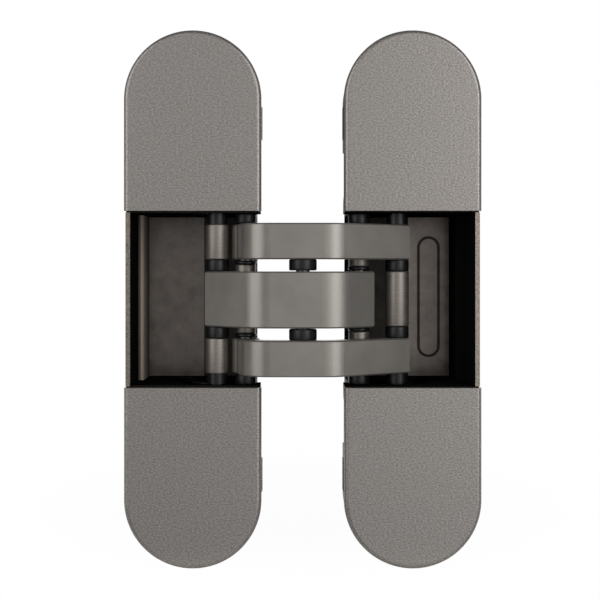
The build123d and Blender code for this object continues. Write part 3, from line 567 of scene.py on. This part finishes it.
away = add_node(tree, "ShaderNodeVectorMath", {
    0: spot.outputs["Position"], 1: shadow_middle}, operation="DISTANCE")
bleach = add_node(tree, "ShaderNodeMapRange", {
    "Value": away.outputs["Value"], "From Min": shadow_core, "From Max": shadow_reach,
    "To Min": 1.0 - shadow_share, "To Max": 1.0}, interpolation_type="SMOOTHSTEP")
share = add_node(tree, "ShaderNodeMath", {
    0: shown.outputs[0], 1: bleach.outputs[0]}, operation="MULTIPLY")
white = add_node(tree, "ShaderNodeEmission", {"Color": (1, 1, 1, 1), "Strength": 1.0})
mixed = add_node(tree, "ShaderNodeMixShader", {
    0: share.outputs[0], 1: shader.outputs[0], 2: white.outputs[0]})
tree.links.new(mixed.outputs[0], tree.nodes["Material Output"].inputs["Surface"])
floor.data.materials.append(board)


# Light: a white sweep behind the hinge and a dim studio in front of it, fuller to the right, which
# the metal mirrors, with two tall soft boxes beside the camera. To the eye all around is white.
front_level = 0.5
dim_between = (0.2, 0.8)
sweep_level = 0.85
sweep_from = 0.96
room_level = 0.15
fill_level = 0.45
fuller_way = (2.4, 0.0, 0.6)
fuller_reach = 0.8
least_full = 0.04
most_full = 1.96
ceiling_from = 0.35
ceiling_to = 0.75
ceiling_share = 0.25
world = bpy.data.worlds.new("studio")
bpy.context.scene.world = world
world.use_nodes = True
tree = world.node_tree
ray = add_node(tree, "ShaderNodeLightPath", {})
way = add_node(tree, "ShaderNodeTexCoord", {})
axes = add_node(tree, "ShaderNodeSeparateXYZ", {"Vector": way.outputs["Generated"]})
depth = add_node(tree, "ShaderNodeMapRange", {
    "Value": axes.outputs["Y"], "From Min": -1.0, "From Max": 1.0})
studio = add_node(tree, "ShaderNodeValToRGB", {"Fac": depth.outputs[0]})
studio.color_ramp.elements[0].position = 0.0
studio.color_ramp.elements[0].color = (front_level, front_level, front_level, 1)
studio.color_ramp.elements[1].position = sweep_from
studio.color_ramp.elements[1].color = (sweep_level, sweep_level, sweep_level, 1)
for position in dim_between:
    dim = studio.color_ramp.elements.new(position)
    dim.color = (0.0, 0.0, 0.0, 1)
lean = add_node(tree, "ShaderNodeVectorMath", {
    0: way.outputs["Generated"], 1: fuller_way}, operation="DOT_PRODUCT")
fuller = add_node(tree, "ShaderNodeMapRange", {
    "Value": lean.outputs["Value"], "From Min": -fuller_reach, "From Max": fuller_reach,
    "To Min": least_full, "To Max": most_full})
graded = add_node(tree, "ShaderNodeVectorMath", {
    0: studio.outputs["Color"], 1: fuller.outputs[0],
    2: (room_level, room_level, room_level)}, operation="MULTIPLY_ADD")
upright = add_node(tree, "ShaderNodeMath", {0: axes.outputs["Z"]}, operation="ABSOLUTE")
ends = add_node(tree, "ShaderNodeMapRange", {
    "Value": upright.outputs[0], "From Min": ceiling_from, "From Max": ceiling_to,
    "To Min": 1.0, "To Max": ceiling_share})
hall = add_node(tree, "ShaderNodeVectorMath", {
    0: graded.outputs["Vector"], "Scale": ends.outputs[0]}, operation="SCALE")
light = add_node(tree, "ShaderNodeMix", {
    0: ray.outputs["Is Glossy Ray"], 6: (fill_level, fill_level, fill_level, 1),
    7: hall.outputs["Vector"]}, data_type="RGBA")
shown = add_node(tree, "ShaderNodeMath", {
    0: ray.outputs["Is Camera Ray"], 1: ray.outputs["Is Transmission Ray"]}, operation="MAXIMUM")
around = add_node(tree, "ShaderNodeMix", {
    0: shown.outputs[0], 6: light.outputs[2], 7: (1, 1, 1, 1)}, data_type="RGBA")
tree.links.new(around.outputs[2], tree.nodes["Background"].inputs["Color"])


def soft_box(name, place, size, watts):
    """A rectangular soft light at that place, facing the hinge."""
    lamp = bpy.data.lights.new(name, "AREA")
    lamp.shape = "RECTANGLE"
    lamp.size, lamp.size_y = size
    lamp.energy = watts
    box = bpy.data.objects.new(name, lamp)
    box.location = place
    box.rotation_euler = Vector(place).to_track_quat("Z", "Y").to_euler()
    bpy.context.scene.collection.objects.link(box)


soft_box("right_soft_box", (0.511, -0.654, 0.25), (0.42, 0.8), 2.4)
soft_box("left_soft_box", (-0.597, -0.577, 0.25), (0.6, 0.8), 2.6)


# Camera: square to the leaves, a little left of the middle and above it, as the photograph was taken.
# The lens is shifted instead of turned, so that the leaves stay upright.
stand_off = 0.225
frame_width = 0.1304
eye_x = -0.0041
eye_z = 0.0065
lens_shift = (0.0268, -0.0507)
face_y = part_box("frame_cover_upper")[0].y
camera = bpy.data.cameras.new("camera")
camera.sensor_width = 36.0
camera.lens = camera.sensor_width * stand_off / frame_width
camera.clip_start, camera.clip_end = 0.01, 20.0
camera.shift_x, camera.shift_y = lens_shift
eye = bpy.data.objects.new("camera", camera)
eye.location = (eye_x, face_y - stand_off, eye_z)
eye.rotation_euler = (math.pi / 2, 0, 0)
bpy.context.scene.collection.objects.link(eye)
bpy.context.scene.camera = eye
bpy.context.scene.view_settings.view_transform = "Standard"
